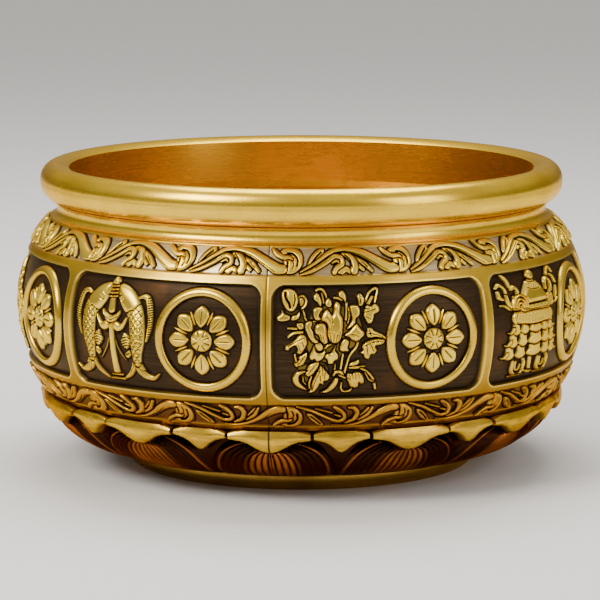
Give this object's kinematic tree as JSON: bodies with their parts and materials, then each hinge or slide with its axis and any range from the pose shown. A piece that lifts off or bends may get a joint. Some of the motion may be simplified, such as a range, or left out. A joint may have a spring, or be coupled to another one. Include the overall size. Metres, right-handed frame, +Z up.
{
  "type": "brass ritual bowl",
  "caption": "Round cast-brass ritual bowl: rolled rim, coved neck, panelled belly with relief ornaments and medallions, scroll bands, and a lotus-petal base on a plain foot.",
  "frame": {"origin": "centre of the foot's underside", "axes": "+Z up along the bowl's axis; the front seam post faces -Y"},
  "size_m": [0.22, 0.22, 0.1157],
  "materials": {
    "turned_brass": "turned and brushed, pale gold",
    "antique_brass": "satin frame with dark patina in the sunk panels, gilt inside",
    "relief_brass": "satin gold with worn bright edges and dark roots",
    "medallion_brass": "satin gold",
    "lotus_brass": "bright lips over dark patinated ribs",
    "foot_brass": "satin, slightly darkened",
    "base_brass": "satin gilt"
  },
  "bodies": {
    "root": {"rim_roll": "turned_brass", "neck_ring": "turned_brass", "shell_left": "antique_brass", "shell_right": "antique_brass", "lotus_left": "lotus_brass", "lotus_right": "lotus_brass", "foot_ring": "foot_brass", "base_plate": "base_brass", "upper_scroll": "relief_brass", "lower_scroll": "relief_brass", "medallion_ring_1": "medallion_brass", "medallion_ring_2": "medallion_brass", "medallion_ring_3": "medallion_brass", "medallion_ring_4": "medallion_brass", "medallion_ring_5": "medallion_brass", "medallion_ring_6": "medallion_brass", "medallion_ring_7": "medallion_brass", "medallion_ring_8": "medallion_brass", "rosette_1": "relief_brass", "rosette_2": "relief_brass", "rosette_3": "relief_brass", "rosette_4": "relief_brass", "rosette_5": "relief_brass", "rosette_6": "relief_brass", "rosette_7": "relief_brass", "rosette_8": "relief_brass", "peony_1": "relief_brass", "peony_2": "relief_brass", "banner_1": "relief_brass", "banner_2": "relief_brass", "knot_1": "relief_brass", "knot_2": "relief_brass", "fish_pair_1": "relief_brass", "fish_pair_2": "relief_brass"}
  },
  "joints": []
}
